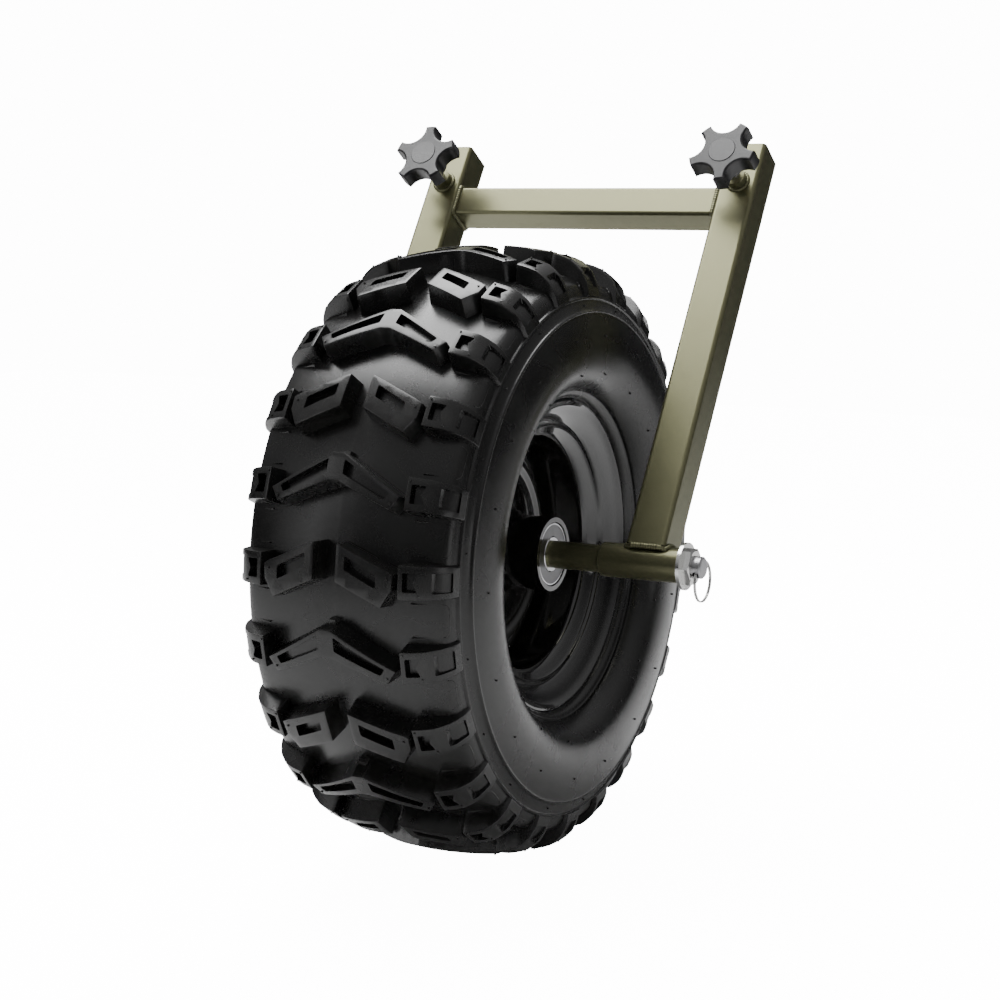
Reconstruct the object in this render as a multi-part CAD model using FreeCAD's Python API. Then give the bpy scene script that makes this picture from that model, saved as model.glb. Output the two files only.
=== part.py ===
"""Fat-tyred front wheel and raked fork for a game cart.

Frame: millimetres, +Z up. The origin is the point on the ground under the axle, midway
between the fork's legs. The wheel sits `wheel_offset` to one side of that point.
The axle runs along X, +X is the side of the axle nut, and -Y is the way the cart rolls.
The fork leans back by `rake`, so its legs point along (0, sin(rake), cos(rake)).
"""
import FreeCAD
import Part
import math
import os

V = FreeCAD.Vector

# Wheel's place on the axle
wheel_offset = -4.0

# Tyre
tyre_radius = 223.3
tyre_half_width = 88.0
lug_height = 15.3
lug_rows = 24
tyre_wall = 7.0
first_row_angle = 22.6
tube_wall = 2.0
tube_gap = 0.6

# Rim: two pressed steel halves, back to back
rim_half_width = 62.5
rim_flange_radius = 112.2
rim_lip_radius = 95.2
rim_well_radius = 83.5
rim_sheet = 2.4
rim_disc_step = 10.0
rim_collar = 21.0

# Hub and bearings
hub_seat_wall = 3.5
hub_half_length = 56.5
hub_ledge = 3.0
bearing_outer_radius = 23.5
bearing_width = 14.0
bearing_recess = 0.8
ball_radius = 3.97
ball_count = 8
outer_race_wall = 1.85
shoulder_half_gap = 2.9
seat_step = 1.5
shield_thickness = 0.4
running_gap = 0.3
groove_gap = 0.06
race_edge = 1.0
outer_seat_depth = 1.3
inner_seat_depth = 1.6
distance_tube_wall = 3.85

# Axle
axle_radius = 7.9
axle_fit = 0.04
washer_radius = 17.0
washer_thickness = 2.5
nut_across_flats = 24.0
nut_height = 6.0
bolt_head_height = 10.0
bolt_end_length = 12.5
ring_wire = 1.1
ring_radius = 14.6
ring_hole_radius = 2.3
ring_lift_angle = 34.0

# Fork
rake = 34.0
leg_side = 30.0
leg_wall = 2.0
leg_corner = 3.0
leg_gap = 226.0
leg_length = 349.0
leg_foot_sink = 4.0
cross_side = 25.0
cross_wall = 2.0
cross_corner = 2.5
cross_centre = 298.7
sleeve_wall = 2.4
sleeve_inner_overhang = 21.0
sleeve_outer_overhang = 12.0
spacer_wall = 1.7
tube_fit = 0.1
spacer_fit = 0.4
weld_bead = 2.2

# Clamp knobs
knob_station = 314.0
knob_radius = 26.0
knob_thickness = 15.0
knob_lobes = 5
knob_flute_radius = 12.5
knob_flute_centre = 28.5
knob_neck_radius = 11.0
knob_neck_height = 7.0
knob_edge = 1.5
knob_cap_radius = 10.5
knob_cap_height = 1.6
knob_cap_proud = 0.5
knob_stand_off = 20.0
knob_turns = {"left": 20.0, "right": 60.5}
boss_radius = 7.5
boss_height = 8.0
stud_radius = 4.0
stud_fit = 0.05
stud_in_knob = 9.0
insert_radius = 6.5

# Valve
valve_angle = 100.0
valve_station = 22.0
valve_radius = 4.0
valve_foot_radius = 5.5
valve_length = 30.0
valve_cap_radius = 5.2
valve_cap_length = 11.0

AXIS = V(1, 0, 0)
LEG_UP = V(0, math.sin(math.radians(rake)), math.cos(math.radians(rake)))
LEG_FRONT = V(0, -math.cos(math.radians(rake)), math.sin(math.radians(rake)))
SIDES = {"left": -1, "right": 1}
leg_centre = (leg_gap + leg_side) / 2
spacer_radius = axle_radius + spacer_fit + spacer_wall
sleeve_radius = spacer_radius + tube_fit + sleeve_wall
sleeve_inner_end = leg_centre - leg_side / 2 - sleeve_inner_overhang
sleeve_outer_end = leg_centre + leg_side / 2 + sleeve_outer_overhang
leg_foot = sleeve_radius - leg_foot_sink
hub_outer_radius = bearing_outer_radius + hub_seat_wall
ball_pitch_radius = bearing_outer_radius - outer_race_wall - seat_step - shoulder_half_gap
bearing_face = hub_half_length - bearing_recess
bearing_back = bearing_face - bearing_width
bearing_middle = bearing_face - bearing_width / 2


def revolved(points):
    """Ring with the closed outline of (x, radius) points, turned about the axle."""
    corners = [V(x, 0, radius) for x, radius in points]
    face = Part.Face(Part.makePolygon(corners + corners[:1]))
    return face.revolve(V(0, 0, 0), AXIS, 360)


def ring(x0, x1, inner, outer):
    """Plain ring between two stations on the axle."""
    return revolved([(x0, inner), (x1, inner), (x1, outer), (x0, outer)])


def disc(x0, x1, radius):
    """Plain cylinder on the axle between two stations."""
    return Part.makeCylinder(radius, x1 - x0, V(x0, 0, 0), AXIS)


def offset(points, distance, closed=False):
    """Points moved sideways, to the left of the direction of travel, with mitred corners."""
    count = len(points)
    moved = []
    for i, (x, radius) in enumerate(points):
        before = points[i - 1] if closed or i > 0 else None
        after = points[(i + 1) % count] if closed or i < count - 1 else None
        normals = []
        for start, end in ((before, (x, radius)), ((x, radius), after)):
            if start is None or end is None:
                continue
            run = math.hypot(end[0] - start[0], end[1] - start[1])
            normals.append(((start[1] - end[1]) / run, (end[0] - start[0]) / run))
        nx = sum(n[0] for n in normals)
        nr = sum(n[1] for n in normals)
        scale = distance * len(normals) / (nx * nx + nr * nr)
        moved.append((x + nx * scale, radius + nr * scale))
    return moved


def sheet(points, thickness):
    """Closed outline of a sheet whose seen side follows the points."""
    return points + list(reversed(offset(points, thickness)))


def on_side(shape, side):
    """Shape as built for the right, or its mirror image for the left."""
    return shape if side > 0 else shape.mirror(V(0, 0, 0), AXIS)


def hexagon(x0, height, across_flats):
    """Hexagonal prism on the axle with its outer corners chamfered."""
    reach = across_flats / math.sqrt(3)
    corners = [V(x0, reach * math.cos(math.radians(a)), reach * math.sin(math.radians(a)))
               for a in range(0, 420, 60)]
    prism = Part.Face(Part.makePolygon(corners)).extrude(V(height, 0, 0))
    chamfer = (reach - across_flats / 2) * 0.6
    outer = x0 + height
    cone = revolved([(x0, 0), (x0, reach + 1), (outer - chamfer, reach + 0.01),
                     (outer, across_flats / 2 - 0.4), (outer, 0)])
    return prism.common(cone)


def save(name, shape, shift):
    """Write one node, lifted to the axle's height and moved along the axle."""
    placed = shape.copy()
    placed.translate(V(shift, 0, tyre_radius))
    placed.exportStep("parts/" + name + ".step")


# Tyre -------------------------------------------------------------------------------------

carcass_radius = tyre_radius - lug_height


def bead_outline():
    """Tyre's half outline on the rim side, from the sidewall's foot to the bead's toe."""
    seat = offset(rim_face()[-5:], rim_sheet + tube_fit)
    return [(rim_half_width + 3.5, rim_flange_radius + 4.5)] + list(reversed(seat))


def sidewall_outline():
    """Tyre's half outline on the outside, from the crown to the sidewall's foot."""
    return [(0, carcass_radius), (30.0, carcass_radius - 1.4), (59.0, carcass_radius - 5.4),
            (tyre_half_width - 15.0, carcass_radius - 9.0),
            (tyre_half_width - 10.5, carcass_radius - 14.0),
            (tyre_half_width - 9.0, carcass_radius - 21.5),
            (tyre_half_width - 4.0, carcass_radius - 31.0),
            (tyre_half_width - 0.6, carcass_radius - 44.0),
            (tyre_half_width, carcass_radius - 57.0),
            (tyre_half_width - 2.5, carcass_radius - 70.0),
            (tyre_half_width - 10.0, carcass_radius - 84.0)]


def cavity_outline():
    """Tyre's half outline on the air side, from the bead's toe to the crown."""
    return [(rim_half_width - 19.5, rim_lip_radius + 6.5),
            (rim_half_width - 15.0, rim_flange_radius + 2.0),
            (tyre_half_width - 17.5, carcass_radius - 82.0),
            (tyre_half_width - tyre_wall - 2.0, carcass_radius - 68.0),
            (tyre_half_width - tyre_wall, carcass_radius - 56.0),
            (tyre_half_width - tyre_wall - 3.5, carcass_radius - 34.0),
            (tyre_half_width - tyre_wall - 13.0, carcass_radius - 21.0),
            (46.0, carcass_radius - tyre_wall - 4.0),
            (0, carcass_radius - tyre_wall - 1.5)]


def lug_envelope():
    """Solid that every tread block is trimmed to: crown, shoulder and flank."""
    half = [(0, tyre_radius), (24.0, tyre_radius - 1.3), (50.0, tyre_radius - 4.9),
            (67.0, tyre_radius - 11.1), (tyre_half_width - 14.0, tyre_radius - 16.8),
            (tyre_half_width - 9.0, tyre_radius - 26.3),
            (tyre_half_width - 7.4, carcass_radius - 20.7),
            (tyre_half_width - 14.0, carcass_radius - 24.0),
            (tyre_half_width - 20.0, carcass_radius - 14.0),
            (46.0, carcass_radius - 6.5), (0, carcass_radius - 3.0)]
    return revolved(half + [(-x, radius) for x, radius in reversed(half[1:-1])])


def block(corners, envelope):
    """Tread block with the given (x, along the tread) corners, at the wheel's front."""
    points = [V(x, -tyre_radius - 1.0, along) for x, along in corners]
    prism = Part.Face(Part.makePolygon(points + points[:1])).extrude(V(0, 3 * lug_height, 0))
    return prism.common(envelope)


def both_sides(corners):
    """A block's corners and those of its mirror image."""
    return [corners, [(-x, along) for x, along in reversed(corners)]]


def tread_pair(envelope):
    """Blocks of one joined chevron row and of the split row that follows it."""
    arm = [(48.0, -15.0), (42.5, -23.5), (5.0, -9.0)]
    chevron = [(5.0, 10.0)] + arm + [(-x, along) for x, along in reversed(arm)] + [(-5.0, 10.0)]
    split = [(8.0, 9.4), (44.0, -6.0), (48.5, -8.0), (48.0, -18.0), (41.0, -30.0), (8.0, -15.5)]
    shoulder = [(52.0, -1.5), (tyre_half_width + 2, -1.5), (tyre_half_width + 2, -23.5),
                (52.0, -23.5)]
    shoulders = both_sides(shoulder)
    rows = ((0, [chevron] + shoulders), (1, both_sides(split) + shoulders))
    blocks = []
    for row, outlines in rows:
        for corners in outlines:
            made = block(corners, envelope)
            made.rotate(V(0, 0, 0), AXIS, -row_angle(row))
            blocks.append(made)
    return blocks


def row_angle(row):
    """Angle of a tread row above the wheel's front, in degrees."""
    return first_row_angle - row * 360.0 / lug_rows


def make_tyre():
    half = sidewall_outline() + bead_outline() + cavity_outline()
    carcass = revolved(half + [(-x, radius) for x, radius in reversed(half[1:-1])])
    pair = tread_pair(lug_envelope())
    blocks = []
    for turn in range(lug_rows // 2):
        for made in pair:
            turned = made.copy()
            turned.rotate(V(0, 0, 0), AXIS, -turn * 720.0 / lug_rows)
            blocks.append(turned)
    return carcass.fuse(blocks)


def make_inner_tube():
    rim_side = rim_well_radius + rim_sheet + tube_gap
    half = [(0, rim_side), (rim_half_width - 26.0, rim_side)]
    half += offset(cavity_outline(), tube_gap)[:-1]
    half += [(0, cavity_outline()[-1][1] - tube_gap)]
    outer = half + [(-x, radius) for x, radius in reversed(half[1:-1])]
    inner = offset(outer, tube_wall, closed=True)
    return revolved(outer).cut(revolved(inner))


# Rim and hub ------------------------------------------------------------------------------

def rim_face():
    """Seen side of a rim half, from the hub out to the flange's edge."""
    dish = rim_sheet + rim_disc_step
    return [(rim_collar, hub_outer_radius), (rim_collar - 5.0, 40.0), (dish - 2.6, 58.0),
            (dish - 2.6, 64.0), (dish, 68.0), (dish, 72.0), (rim_sheet, rim_well_radius - 4.5),
            (rim_sheet, rim_well_radius), (rim_half_width - 20.5, rim_well_radius),
            (rim_half_width - 14.5, rim_lip_radius - 1.2),
            (rim_half_width - 10.9, rim_lip_radius),
            (rim_half_width - 6.8, rim_lip_radius + 6.0),
            (rim_half_width - 3.8, rim_flange_radius - 3.2),
            (rim_half_width - 0.4, rim_flange_radius)]


def valve_hole(radius, low, high):
    """Cylinder along the valve's axis between two radii from the axle."""
    angle = math.radians(valve_angle)
    out = V(0, -math.cos(angle), math.sin(angle))
    return Part.makeCylinder(radius, high - low, V(-valve_station, 0, 0) + out * low, out)


def make_rim_half(side):
    half = on_side(revolved(sheet(rim_face(), rim_sheet)), side)
    half = half.cut(disc(-hub_half_length, hub_half_length, hub_outer_radius))
    if side < 0:
        half = half.cut(valve_hole(valve_foot_radius + tube_fit, rim_well_radius - 5, 100.0))
    return half


def make_hub_tube():
    shell = ring(-hub_half_length, hub_half_length, bearing_outer_radius - hub_ledge,
                 hub_outer_radius)
    for side in SIDES.values():
        pocket = disc(bearing_back, hub_half_length + 1, bearing_outer_radius)
        shell = shell.cut(on_side(pocket, side))
    return shell


def make_rim_seam_weld():
    middle = rim_well_radius + rim_sheet
    return revolved([(-weld_bead, middle), (weld_bead, middle), (0, middle + weld_bead * 0.25)])


def make_hub_welds():
    bead = revolved([(rim_collar, hub_outer_radius),
                     (rim_collar + 2 * weld_bead, hub_outer_radius),
                     (rim_collar, hub_outer_radius + 1.6 * weld_bead)])
    bead = bead.cut(on_side(revolved(sheet(rim_face(), rim_sheet)), 1))
    return Part.makeCompound([on_side(bead, side) for side in SIDES.values()])


# Bearings ---------------------------------------------------------------------------------

def ball_groove():
    """Torus that both races are grooved with."""
    groove = Part.makeTorus(ball_pitch_radius, ball_radius + groove_gap, V(0, 0, 0), AXIS)
    groove.translate(V(bearing_middle, 0, 0))
    return groove


def make_outer_race(side):
    shoulder = ball_pitch_radius + shoulder_half_gap
    seat = shoulder + seat_step
    race = revolved([
        (bearing_back, seat), (bearing_back + outer_seat_depth, seat),
        (bearing_back + outer_seat_depth, shoulder), (bearing_face - outer_seat_depth, shoulder),
        (bearing_face - outer_seat_depth, seat), (bearing_face, seat),
        (bearing_face, bearing_outer_radius - race_edge),
        (bearing_face - race_edge, bearing_outer_radius),
        (bearing_back + race_edge, bearing_outer_radius),
        (bearing_back, bearing_outer_radius - race_edge)])
    return on_side(race.cut(ball_groove()), side)


def make_inner_race(side):
    shoulder = ball_pitch_radius - shoulder_half_gap
    edge = shoulder - seat_step
    bore = axle_radius + axle_fit
    race = revolved([
        (bearing_back, bore), (bearing_face, bore), (bearing_face, edge - race_edge / 2),
        (bearing_face - race_edge / 2, edge), (bearing_face - inner_seat_depth, edge),
        (bearing_face - inner_seat_depth, shoulder), (bearing_back + inner_seat_depth, shoulder),
        (bearing_back + inner_seat_depth, edge), (bearing_back + race_edge / 2, edge),
        (bearing_back, edge - race_edge / 2)])
    return on_side(race.cut(ball_groove()), side)


def make_shields(side):
    inner = ball_pitch_radius - shoulder_half_gap - seat_step + running_gap
    outer = ball_pitch_radius + shoulder_half_gap + seat_step
    plates = []
    for start in (bearing_back + 0.5, bearing_face - 0.5 - shield_thickness):
        plates.append(on_side(ring(start, start + shield_thickness, inner, outer), side))
    return Part.makeCompound(plates)


def ball_centres():
    """Centres of one bearing's balls."""
    centres = []
    for i in range(ball_count):
        angle = 2 * math.pi * i / ball_count
        centres.append(V(bearing_middle, ball_pitch_radius * math.cos(angle),
                         ball_pitch_radius * math.sin(angle)))
    return centres


def make_balls(side):
    balls = Part.makeCompound([Part.makeSphere(ball_radius, c) for c in ball_centres()])
    return on_side(balls, side)


def make_cage(side):
    half_width = ball_radius * 0.6
    cage = ring(bearing_middle - half_width, bearing_middle + half_width,
                ball_pitch_radius - 0.8, ball_pitch_radius + 0.8)
    for centre in ball_centres():
        cage = cage.cut(Part.makeSphere(ball_radius + groove_gap, centre))
    return on_side(cage, side)


def make_distance_tube():
    bore = axle_radius + tube_fit
    return ring(-bearing_back, bearing_back, bore, bore + distance_tube_wall)


# Axle -------------------------------------------------------------------------------------

nut_start = sleeve_outer_end + washer_thickness
nut_end = nut_start + nut_height
ring_station = nut_end + ring_wire + running_gap + 1.1
ring_hole_way = V(0, math.cos(math.radians(ring_lift_angle)),
                  math.sin(math.radians(ring_lift_angle)))
ring_drop_way = V(0, math.sin(math.radians(ring_lift_angle)),
                  -math.cos(math.radians(ring_lift_angle)))


def make_axle_bolt():
    end = nut_start + bolt_end_length
    shank = revolved([(-nut_start, 0), (-nut_start, axle_radius), (end - 1.2, axle_radius),
                      (end, axle_radius - 1.2), (end, 0)])
    head = on_side(hexagon(nut_start, bolt_head_height, nut_across_flats), -1)
    start = V(ring_station, 0, 0) - ring_hole_way * 2 * axle_radius
    hole = Part.makeCylinder(ring_hole_radius, 4 * axle_radius, start, ring_hole_way)
    return shank.fuse(head).cut(hole)


def make_axle_washers():
    plain = ring(sleeve_outer_end, nut_start, axle_radius + tube_fit, washer_radius)
    return Part.makeCompound([on_side(plain, side) for side in SIDES.values()])


def make_axle_nut():
    nut = hexagon(nut_start, nut_height, nut_across_flats)
    return nut.cut(disc(nut_start - 1, nut_end + 1, axle_radius + axle_fit))


def make_split_ring():
    """Two turns of round wire lying side by side, threaded through the bolt's end."""
    sagitta = ring_radius - math.sqrt(ring_radius ** 2 - axle_radius ** 2)
    centre = V(ring_station, 0, 0) + ring_drop_way * (ring_radius - sagitta / 2)
    turns = []
    for step in (-0.5, 0.5):
        turn = Part.makeTorus(ring_radius, ring_wire / 2 + 0.02, V(0, 0, 0), AXIS)
        turn.translate(centre + AXIS * (step * ring_wire))
        turns.append(turn)
    return turns[0].fuse(turns[1])


# Fork -------------------------------------------------------------------------------------

def leg_point(x, front, up):
    """Point given across the wheel, towards the leg's front, and up the leg."""
    return V(x, 0, 0) + LEG_FRONT * front + LEG_UP * up


def rounded_square(half, corner, origin, along_a, along_b):
    """Face of a square with rounded corners around an origin."""
    flat = half - corner
    cut = corner * (1 - math.sqrt(0.5))
    edges = []
    for turn in range(4):
        angle = math.pi / 2 * turn
        a = along_a * math.cos(angle) + along_b * math.sin(angle)
        b = along_b * math.cos(angle) - along_a * math.sin(angle)
        start = origin + a * half - b * flat
        end = origin + a * half + b * flat
        tip = origin + a * (half - cut) + b * (half - cut)
        after = origin + a * flat + b * half
        edges += [Part.LineSegment(start, end).toShape(), Part.Arc(end, tip, after).toShape()]
    return Part.Face(Part.Wire(Part.__sortEdges__(edges)))


def square_tube(side, wall, corner, origin, along_a, along_b, run):
    """Square tube from an origin along a run, with rounded corners inside and out."""
    outer = rounded_square(side / 2, corner, origin, along_a, along_b).extrude(run)
    bore = rounded_square(side / 2 - wall, max(corner - wall, 0.4), origin - run * 0.01,
                          along_a, along_b).extrude(run * 1.02)
    return outer.cut(bore)


def make_leg(side):
    x = side * leg_centre
    leg = square_tube(leg_side, leg_wall, leg_corner, leg_point(x, 0, leg_foot), AXIS,
                      LEG_FRONT, LEG_UP * (leg_length - leg_foot))
    saddle = disc(leg_centre - leg_side, leg_centre + leg_side, sleeve_radius)
    hole = Part.makeCylinder(stud_radius + running_gap, leg_side,
                             leg_point(x, 0, knob_station), LEG_FRONT)
    return leg.cut(on_side(saddle, side)).cut(hole)


def make_cross_tube():
    return square_tube(cross_side, cross_wall, cross_corner,
                       leg_point(-leg_gap / 2, 0, cross_centre), LEG_FRONT, LEG_UP,
                       AXIS * leg_gap)


def make_sleeve(side):
    edge = 1.2
    bore = spacer_radius + tube_fit
    return on_side(revolved([
        (sleeve_inner_end, bore), (sleeve_outer_end, bore), (sleeve_outer_end, sleeve_radius),
        (sleeve_inner_end + edge, sleeve_radius), (sleeve_inner_end, sleeve_radius - edge)]),
        side)


def make_spacer(side):
    start = bearing_face + side * wheel_offset
    return on_side(ring(start, sleeve_outer_end, axle_radius + spacer_fit, spacer_radius),
                   side)


def make_leg_welds():
    """Beads around the foot of each leg, where it stands on its sleeve."""
    beads = []
    for side in SIDES.values():
        x = side * leg_centre
        solids = [make_leg(side), on_side(disc(sleeve_inner_end, sleeve_outer_end,
                                               sleeve_radius), side)]
        for front in (-1, 1):
            start = leg_point(x - leg_side / 2, front * (leg_side / 2 - 1.0), leg_foot - 1.0)
            beads.append(Part.makeCylinder(weld_bead, leg_side, start, AXIS).cut(solids))
        for face in (-1, 1):
            torus = Part.makeTorus(sleeve_radius, weld_bead, V(0, 0, 0), AXIS)
            torus.translate(V(x + face * leg_side / 2, 0, 0))
            keep = Part.makeBox(leg_side, leg_side - 2.0, leg_side,
                                V(-leg_side / 2, 1 - leg_side / 2, leg_foot - 1.5))
            keep.rotate(V(0, 0, 0), AXIS, -rake)
            keep.translate(V(x + face * leg_side / 2, 0, 0))
            beads.append(torus.common(keep).cut(solids))
    return Part.makeCompound([solid for bead in beads for solid in bead.Solids])


def make_cross_welds():
    """Beads around both ends of the cross tube."""
    beads = []
    half = cross_side / 2
    for side in SIDES.values():
        centre = leg_point(side * leg_gap / 2, 0, cross_centre)
        frame = []
        for way, across in ((LEG_FRONT, LEG_UP), (LEG_UP, LEG_FRONT)):
            for sign in (-1, 1):
                start = centre + way * (sign * half) - across * half
                frame.append(Part.makeCylinder(weld_bead, cross_side, start, across))
        for front in (-1, 1):
            for up in (-1, 1):
                frame.append(Part.makeSphere(weld_bead, centre + LEG_FRONT * (front * half)
                                             + LEG_UP * (up * half)))
        bead = frame[0].fuse(frame[1:])
        slab = Part.makeBox(2 * weld_bead, 80, 80, V(-2 * weld_bead, -40, -40))
        slab.rotate(V(0, 0, 0), AXIS, -rake)
        slab = on_side(slab, side)
        slab.translate(centre)
        solid = square_tube(cross_side, half - 0.01, cross_corner,
                            leg_point(-leg_gap / 2, 0, cross_centre), LEG_FRONT, LEG_UP,
                            AXIS * leg_gap)
        beads.append(bead.common(slab).cut(solid))
    return Part.makeCompound([solid for bead in beads for solid in bead.Solids])


# Clamp knobs ------------------------------------------------------------------------------

knob_base = leg_side / 2 + knob_stand_off


def knob_place(shape, side):
    """Shape built on +Z at the origin, stood on the leg's front at the knob's station."""
    placed = shape.copy()
    placed.rotate(V(0, 0, 0), V(0, 0, 1), knob_turns["left" if side < 0 else "right"])
    placed.rotate(V(0, 0, 0), AXIS, 90 - rake)
    placed.translate(leg_point(side * leg_centre, 0, knob_station))
    return placed


def make_boss(side):
    boss = Part.makeCylinder(boss_radius, boss_height, V(0, 0, leg_side / 2))
    bore = Part.makeCylinder(stud_radius + stud_fit, leg_side, V(0, 0, 0))
    return knob_place(boss.cut(bore), side)


def make_boss_weld(side):
    ring_weld = Part.makeTorus(boss_radius + 0.4, weld_bead * 0.7, V(0, 0, leg_side / 2))
    above = Part.makeCylinder(boss_radius + 5, 5, V(0, 0, leg_side / 2))
    core = Part.makeCylinder(boss_radius, 10, V(0, 0, leg_side / 2))
    return knob_place(ring_weld.common(above).cut(core), side)


def make_knob(side):
    top = knob_base + knob_neck_height + knob_thickness
    head = Part.makeCylinder(knob_radius, knob_thickness, V(0, 0, top - knob_thickness))
    for i in range(knob_lobes):
        angle = 2 * math.pi * (i + 0.5) / knob_lobes
        centre = V(knob_flute_centre * math.cos(angle), knob_flute_centre * math.sin(angle),
                   top - knob_thickness - 1)
        head = head.cut(Part.makeCylinder(knob_flute_radius, knob_thickness + 2, centre))
    rims = [e for e in head.Edges if abs(e.BoundBox.ZMax - e.BoundBox.ZMin) < 0.01]
    head = head.makeFillet(knob_edge, rims)
    neck = Part.makeCylinder(knob_neck_radius, knob_neck_height + 1, V(0, 0, knob_base))
    seat = Part.makeCylinder(knob_cap_radius, knob_cap_height,
                             V(0, 0, top - knob_cap_height + knob_cap_proud))
    bore = Part.makeCylinder(insert_radius, stud_in_knob + 2, V(0, 0, knob_base))
    return knob_place(head.fuse(neck).cut(seat).cut(bore).removeSplitter(), side)


def make_knob_cap(side):
    top = knob_base + knob_neck_height + knob_thickness + knob_cap_proud
    cap = Part.makeCylinder(knob_cap_radius, knob_cap_height, V(0, 0, top - knob_cap_height))
    rims = [e for e in cap.Edges if e.BoundBox.ZMin > top - 0.01]
    return knob_place(cap.makeChamfer(0.4, rims), side)


def make_knob_insert(side):
    insert = Part.makeCylinder(insert_radius, stud_in_knob + 2, V(0, 0, knob_base))
    bore = Part.makeCylinder(stud_radius, stud_in_knob, V(0, 0, knob_base))
    return knob_place(insert.cut(bore), side)


def make_stud(side):
    tip = leg_side / 2 - leg_wall + 0.1
    length = knob_base + stud_in_knob - tip
    stud = Part.makeCylinder(stud_radius, length, V(0, 0, tip))
    rims = [e for e in stud.Edges if e.BoundBox.ZMax < tip + 0.01]
    return knob_place(stud.makeChamfer(0.6, rims), side)


# Valve ------------------------------------------------------------------------------------

valve_inner = rim_well_radius - valve_length


def make_valve_stem():
    bore = valve_hole(1.6, valve_inner - 1, rim_well_radius + 8)
    stem = valve_hole(valve_radius, valve_inner, rim_well_radius)
    foot = valve_hole(valve_foot_radius, rim_well_radius - 4.0,
                      rim_well_radius + rim_sheet + tube_gap / 2)
    return stem.fuse(foot).cut(bore)


def make_valve_core():
    return valve_hole(1.5, valve_inner + 1, valve_inner + 16)


def make_valve_cap():
    cap = valve_hole(valve_cap_radius, valve_inner - 1.5, valve_inner - 1.5 + valve_cap_length)
    return cap.cut(valve_hole(valve_radius + stud_fit, valve_inner, valve_inner + 30))


# Nodes ------------------------------------------------------------------------------------

WHEEL_SINGLES = {
    "tyre": make_tyre,
    "inner_tube": make_inner_tube,
    "hub_tube": make_hub_tube,
    "rim_seam_weld": make_rim_seam_weld,
    "hub_welds": make_hub_welds,
    "bearing_distance_tube": make_distance_tube,
    "valve_stem": make_valve_stem,
    "valve_core": make_valve_core,
    "valve_cap": make_valve_cap,
}
WHEEL_PAIRS = {
    "rim_half": make_rim_half,
    "bearing_outer_race": make_outer_race,
    "bearing_inner_race": make_inner_race,
    "bearing_shields": make_shields,
    "bearing_balls": make_balls,
    "bearing_cage": make_cage,
}
FORK_SINGLES = {
    "axle_bolt": make_axle_bolt,
    "axle_washers": make_axle_washers,
    "axle_nut": make_axle_nut,
    "split_ring": make_split_ring,
    "cross_tube": make_cross_tube,
    "leg_foot_welds": make_leg_welds,
    "cross_tube_welds": make_cross_welds,
}
FORK_PAIRS = {
    "fork_leg": make_leg,
    "axle_sleeve": make_sleeve,
    "spacer_tube": make_spacer,
    "knob_boss": make_boss,
    "knob_boss_weld": make_boss_weld,
    "knob": make_knob,
    "knob_cap": make_knob_cap,
    "knob_insert": make_knob_insert,
    "knob_stud": make_stud,
}

os.makedirs("parts", exist_ok=True)
for singles, pairs, shift in ((WHEEL_SINGLES, WHEEL_PAIRS, wheel_offset),
                              (FORK_SINGLES, FORK_PAIRS, 0.0)):
    for node, make in singles.items():
        save(node, make(), shift)
    for node, make in pairs.items():
        for name, sign in SIDES.items():
            save(name + "_" + node, make(sign), shift)
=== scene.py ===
"""Fat-tyred front wheel and raked fork of a game cart, dressed for a studio view."""
import logging
import math
import random
from dataclasses import dataclass, field
from enum import Enum
from typing import Sequence

import bmesh
import bpy
from mathutils import Matrix, Vector


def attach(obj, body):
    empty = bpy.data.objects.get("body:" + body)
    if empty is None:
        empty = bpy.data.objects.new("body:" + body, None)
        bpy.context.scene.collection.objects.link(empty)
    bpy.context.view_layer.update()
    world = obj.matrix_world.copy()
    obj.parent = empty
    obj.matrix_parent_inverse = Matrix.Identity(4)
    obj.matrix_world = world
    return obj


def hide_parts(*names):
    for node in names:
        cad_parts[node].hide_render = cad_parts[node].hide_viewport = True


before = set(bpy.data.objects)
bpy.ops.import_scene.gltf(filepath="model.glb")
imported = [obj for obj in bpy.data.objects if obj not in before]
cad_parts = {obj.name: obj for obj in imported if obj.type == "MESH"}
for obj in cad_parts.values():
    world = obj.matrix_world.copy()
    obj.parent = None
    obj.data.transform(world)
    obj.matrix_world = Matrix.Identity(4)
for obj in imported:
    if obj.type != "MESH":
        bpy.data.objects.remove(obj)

LOG = logging.getLogger("game_cart_wheel")
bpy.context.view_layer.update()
MM = 0.001
AXLE_HEIGHT = 223.3
WHEEL_OFFSET = -4.0
RAKE = math.radians(34.0)
LEG_UP = Vector((0.0, math.sin(RAKE), math.cos(RAKE)))
LEG_FRONT = Vector((0.0, -math.cos(RAKE), math.sin(RAKE)))
ACROSS = Vector((1.0, 0.0, 0.0))
BEAD_STEP = 0.45
RIPPLE_LENGTH = 1.9

Pair = tuple[float, float]
Colour = tuple[float, float, float]


class Side(Enum):
    """Side of the wheel, as the sign of its place along the axle."""

    LEFT = -1
    RIGHT = 1


class Slot(Enum):
    """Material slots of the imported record."""

    OLIVE = "olive_coat"
    BLACK = "black_coat"
    ZINC = "zinc"
    BEARING = "bearing_steel"
    SHIELD = "shield_steel"
    TYRE = "tyre"
    TUBE = "tube_rubber"
    KNOB = "knob_plastic"
    KNOB_CAP = "knob_cap_plastic"
    BRASS = "brass"


# Shader node groups -----------------------------------------------------------------------


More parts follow.
